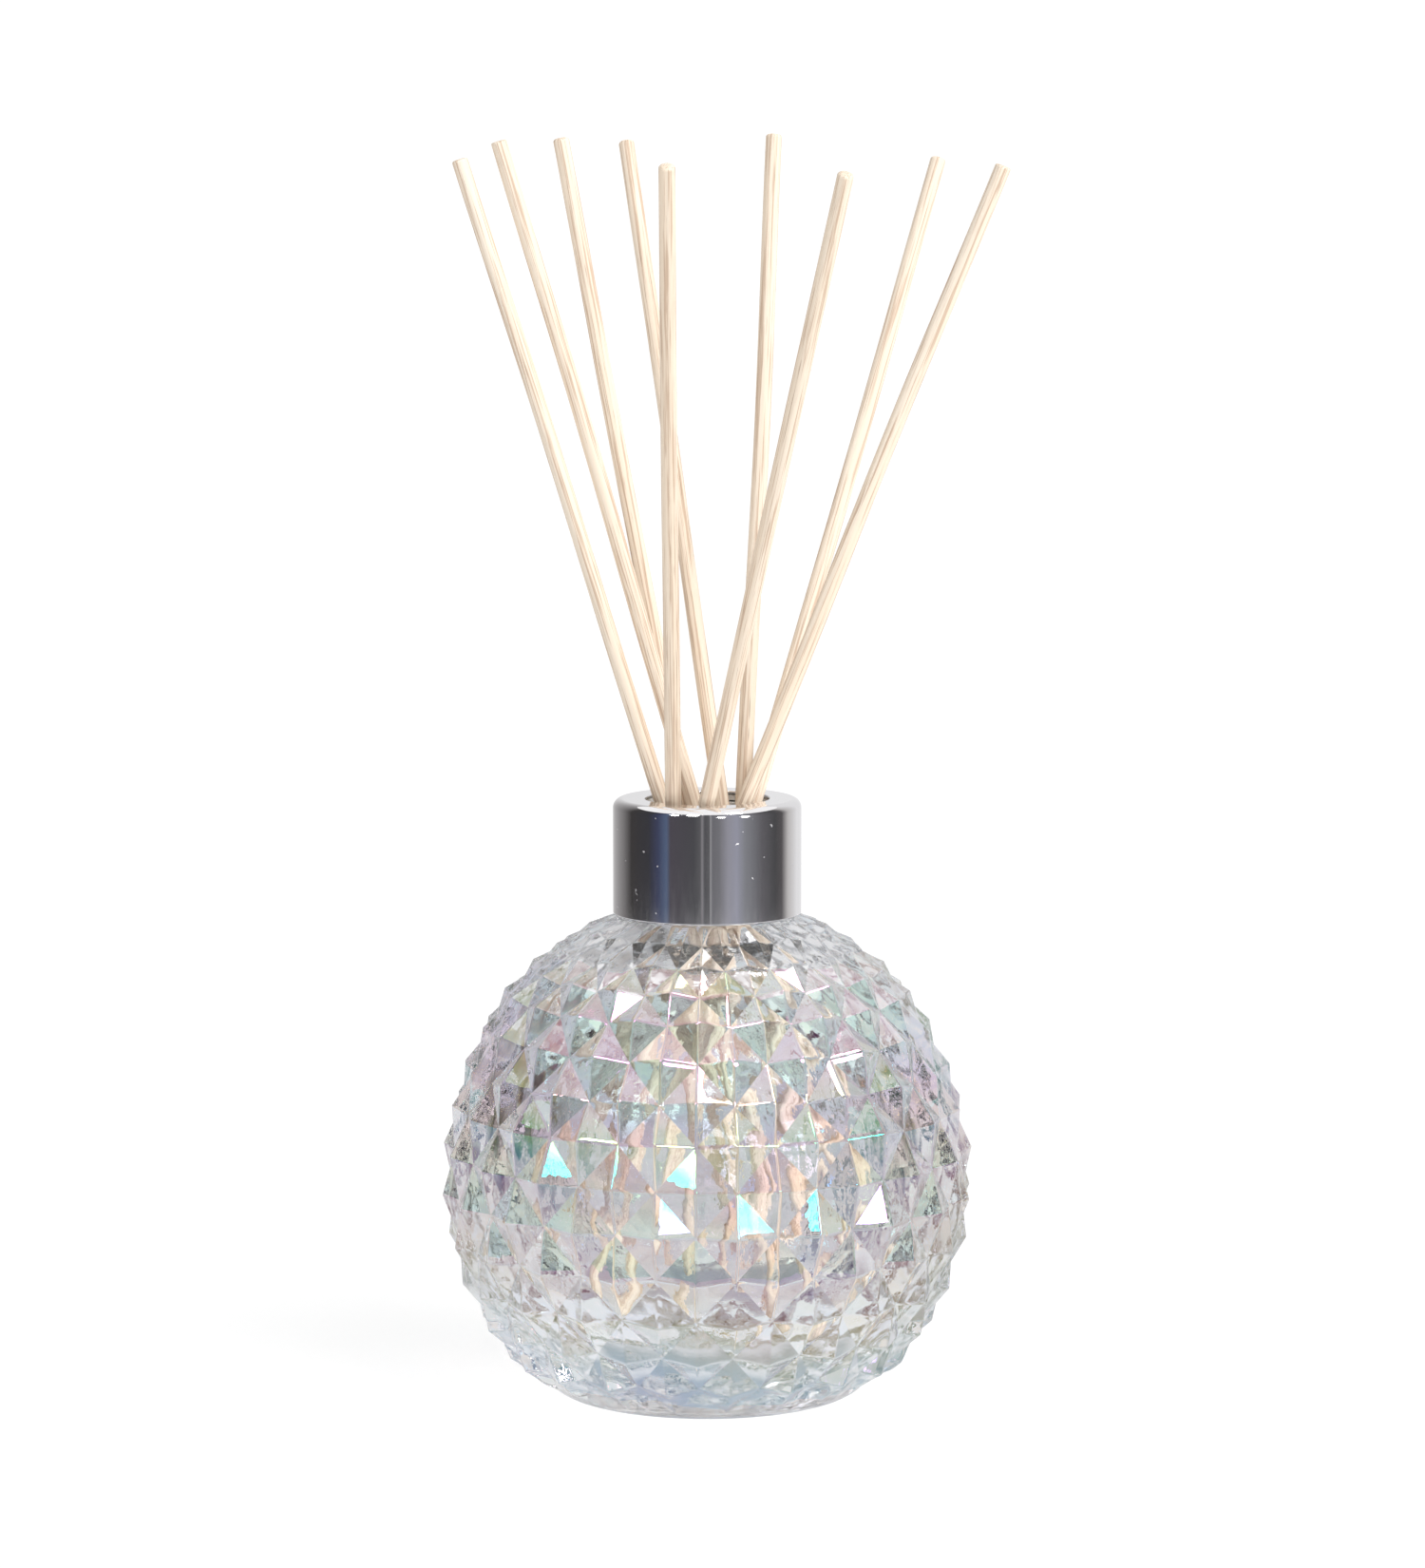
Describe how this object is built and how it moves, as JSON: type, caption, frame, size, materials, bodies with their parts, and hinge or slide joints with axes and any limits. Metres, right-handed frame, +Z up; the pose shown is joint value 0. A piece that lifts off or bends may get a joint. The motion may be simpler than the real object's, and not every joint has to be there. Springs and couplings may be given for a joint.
{
  "type": "reed diffuser",
  "caption": "Fragrance reed diffuser: ball-shaped glass bottle covered in diamond studs, polished metal screw collar, and a fan of plain wooden reeds.",
  "frame": {"origin": "centre of the bottle's flat base, on the bottle's axis", "axes": "+Z up along the bottle's axis, -Y towards the front"},
  "size_m": [0.1048, 0.106, 0.2354],
  "materials": {
    "studded_glass": "polished, faintly iridescent",
    "collar_metal": "polished dark chrome",
    "liner_plastic": "satin",
    "washer_foam": "matte",
    "reed_wood": "natural, unfinished"
  },
  "bodies": {
    "bottle": {"glass_bottle": "studded_glass"},
    "washer": {"sealing_washer": "washer_foam"},
    "collar": {"collar_shell": "collar_metal", "collar_liner": "liner_plastic"},
    "reed_1": {"reed_1": "reed_wood"},
    "reed_2": {"reed_2": "reed_wood"},
    "reed_3": {"reed_3": "reed_wood"},
    "reed_4": {"reed_4": "reed_wood"},
    "reed_5": {"reed_5": "reed_wood"},
    "reed_6": {"reed_6": "reed_wood"},
    "reed_7": {"reed_7": "reed_wood"},
    "reed_8": {"reed_8": "reed_wood"},
    "reed_9": {"reed_9": "reed_wood"}
  },
  "joints": [
    {"name": "washer_rise", "type": "slide", "parent": "bottle", "child": "washer", "axis": [0, 0, 1], "range_m": [0, 0.002]},
    {"name": "collar_unscrew", "type": "hinge", "parent": "washer", "child": "collar", "pos_m": [0, 0, 0.1], "axis": [0, 0, 1], "range_deg": [0, 240]},
    {"name": "reed_1_lift", "type": "slide", "parent": "bottle", "child": "reed_1", "axis": [-0.2963, -0.0403, 0.9542], "range_m": [0, 0.13]},
    {"name": "reed_2_lift", "type": "slide", "parent": "bottle", "child": "reed_2", "axis": [-0.2787, -0.0496, 0.9591], "range_m": [0, 0.13]},
    {"name": "reed_3_lift", "type": "slide", "parent": "bottle", "child": "reed_3", "axis": [-0.1833, -0.0072, 0.983], "range_m": [0, 0.13]},
    {"name": "reed_4_lift", "type": "slide", "parent": "bottle", "child": "reed_4", "axis": [-0.1396, 0.2979, 0.9443], "range_m": [0, 0.13]},
    {"name": "reed_5_lift", "type": "slide", "parent": "bottle", "child": "reed_5", "axis": [-0.0055, -0.3818, 0.9242], "range_m": [0, 0.13]},
    {"name": "reed_6_lift", "type": "slide", "parent": "bottle", "child": "reed_6", "axis": [0.0461, 0.11, 0.9929], "range_m": [0, 0.13]},
    {"name": "reed_7_lift", "type": "slide", "parent": "bottle", "child": "reed_7", "axis": [0.1933, -0.3386, 0.9208], "range_m": [0, 0.13]},
    {"name": "reed_8_lift", "type": "slide", "parent": "bottle", "child": "reed_8", "axis": [0.2733, 0.2757, 0.9216], "range_m": [0, 0.13]},
    {"name": "reed_9_lift", "type": "slide", "parent": "bottle", "child": "reed_9", "axis": [0.3709, -0.0537, 0.9271], "range_m": [0, 0.13]}
  ],
  "couplings": [
    {"joint": "washer_rise", "follows": "collar_unscrew", "m_per_rad": 0.00047746}
  ]
}
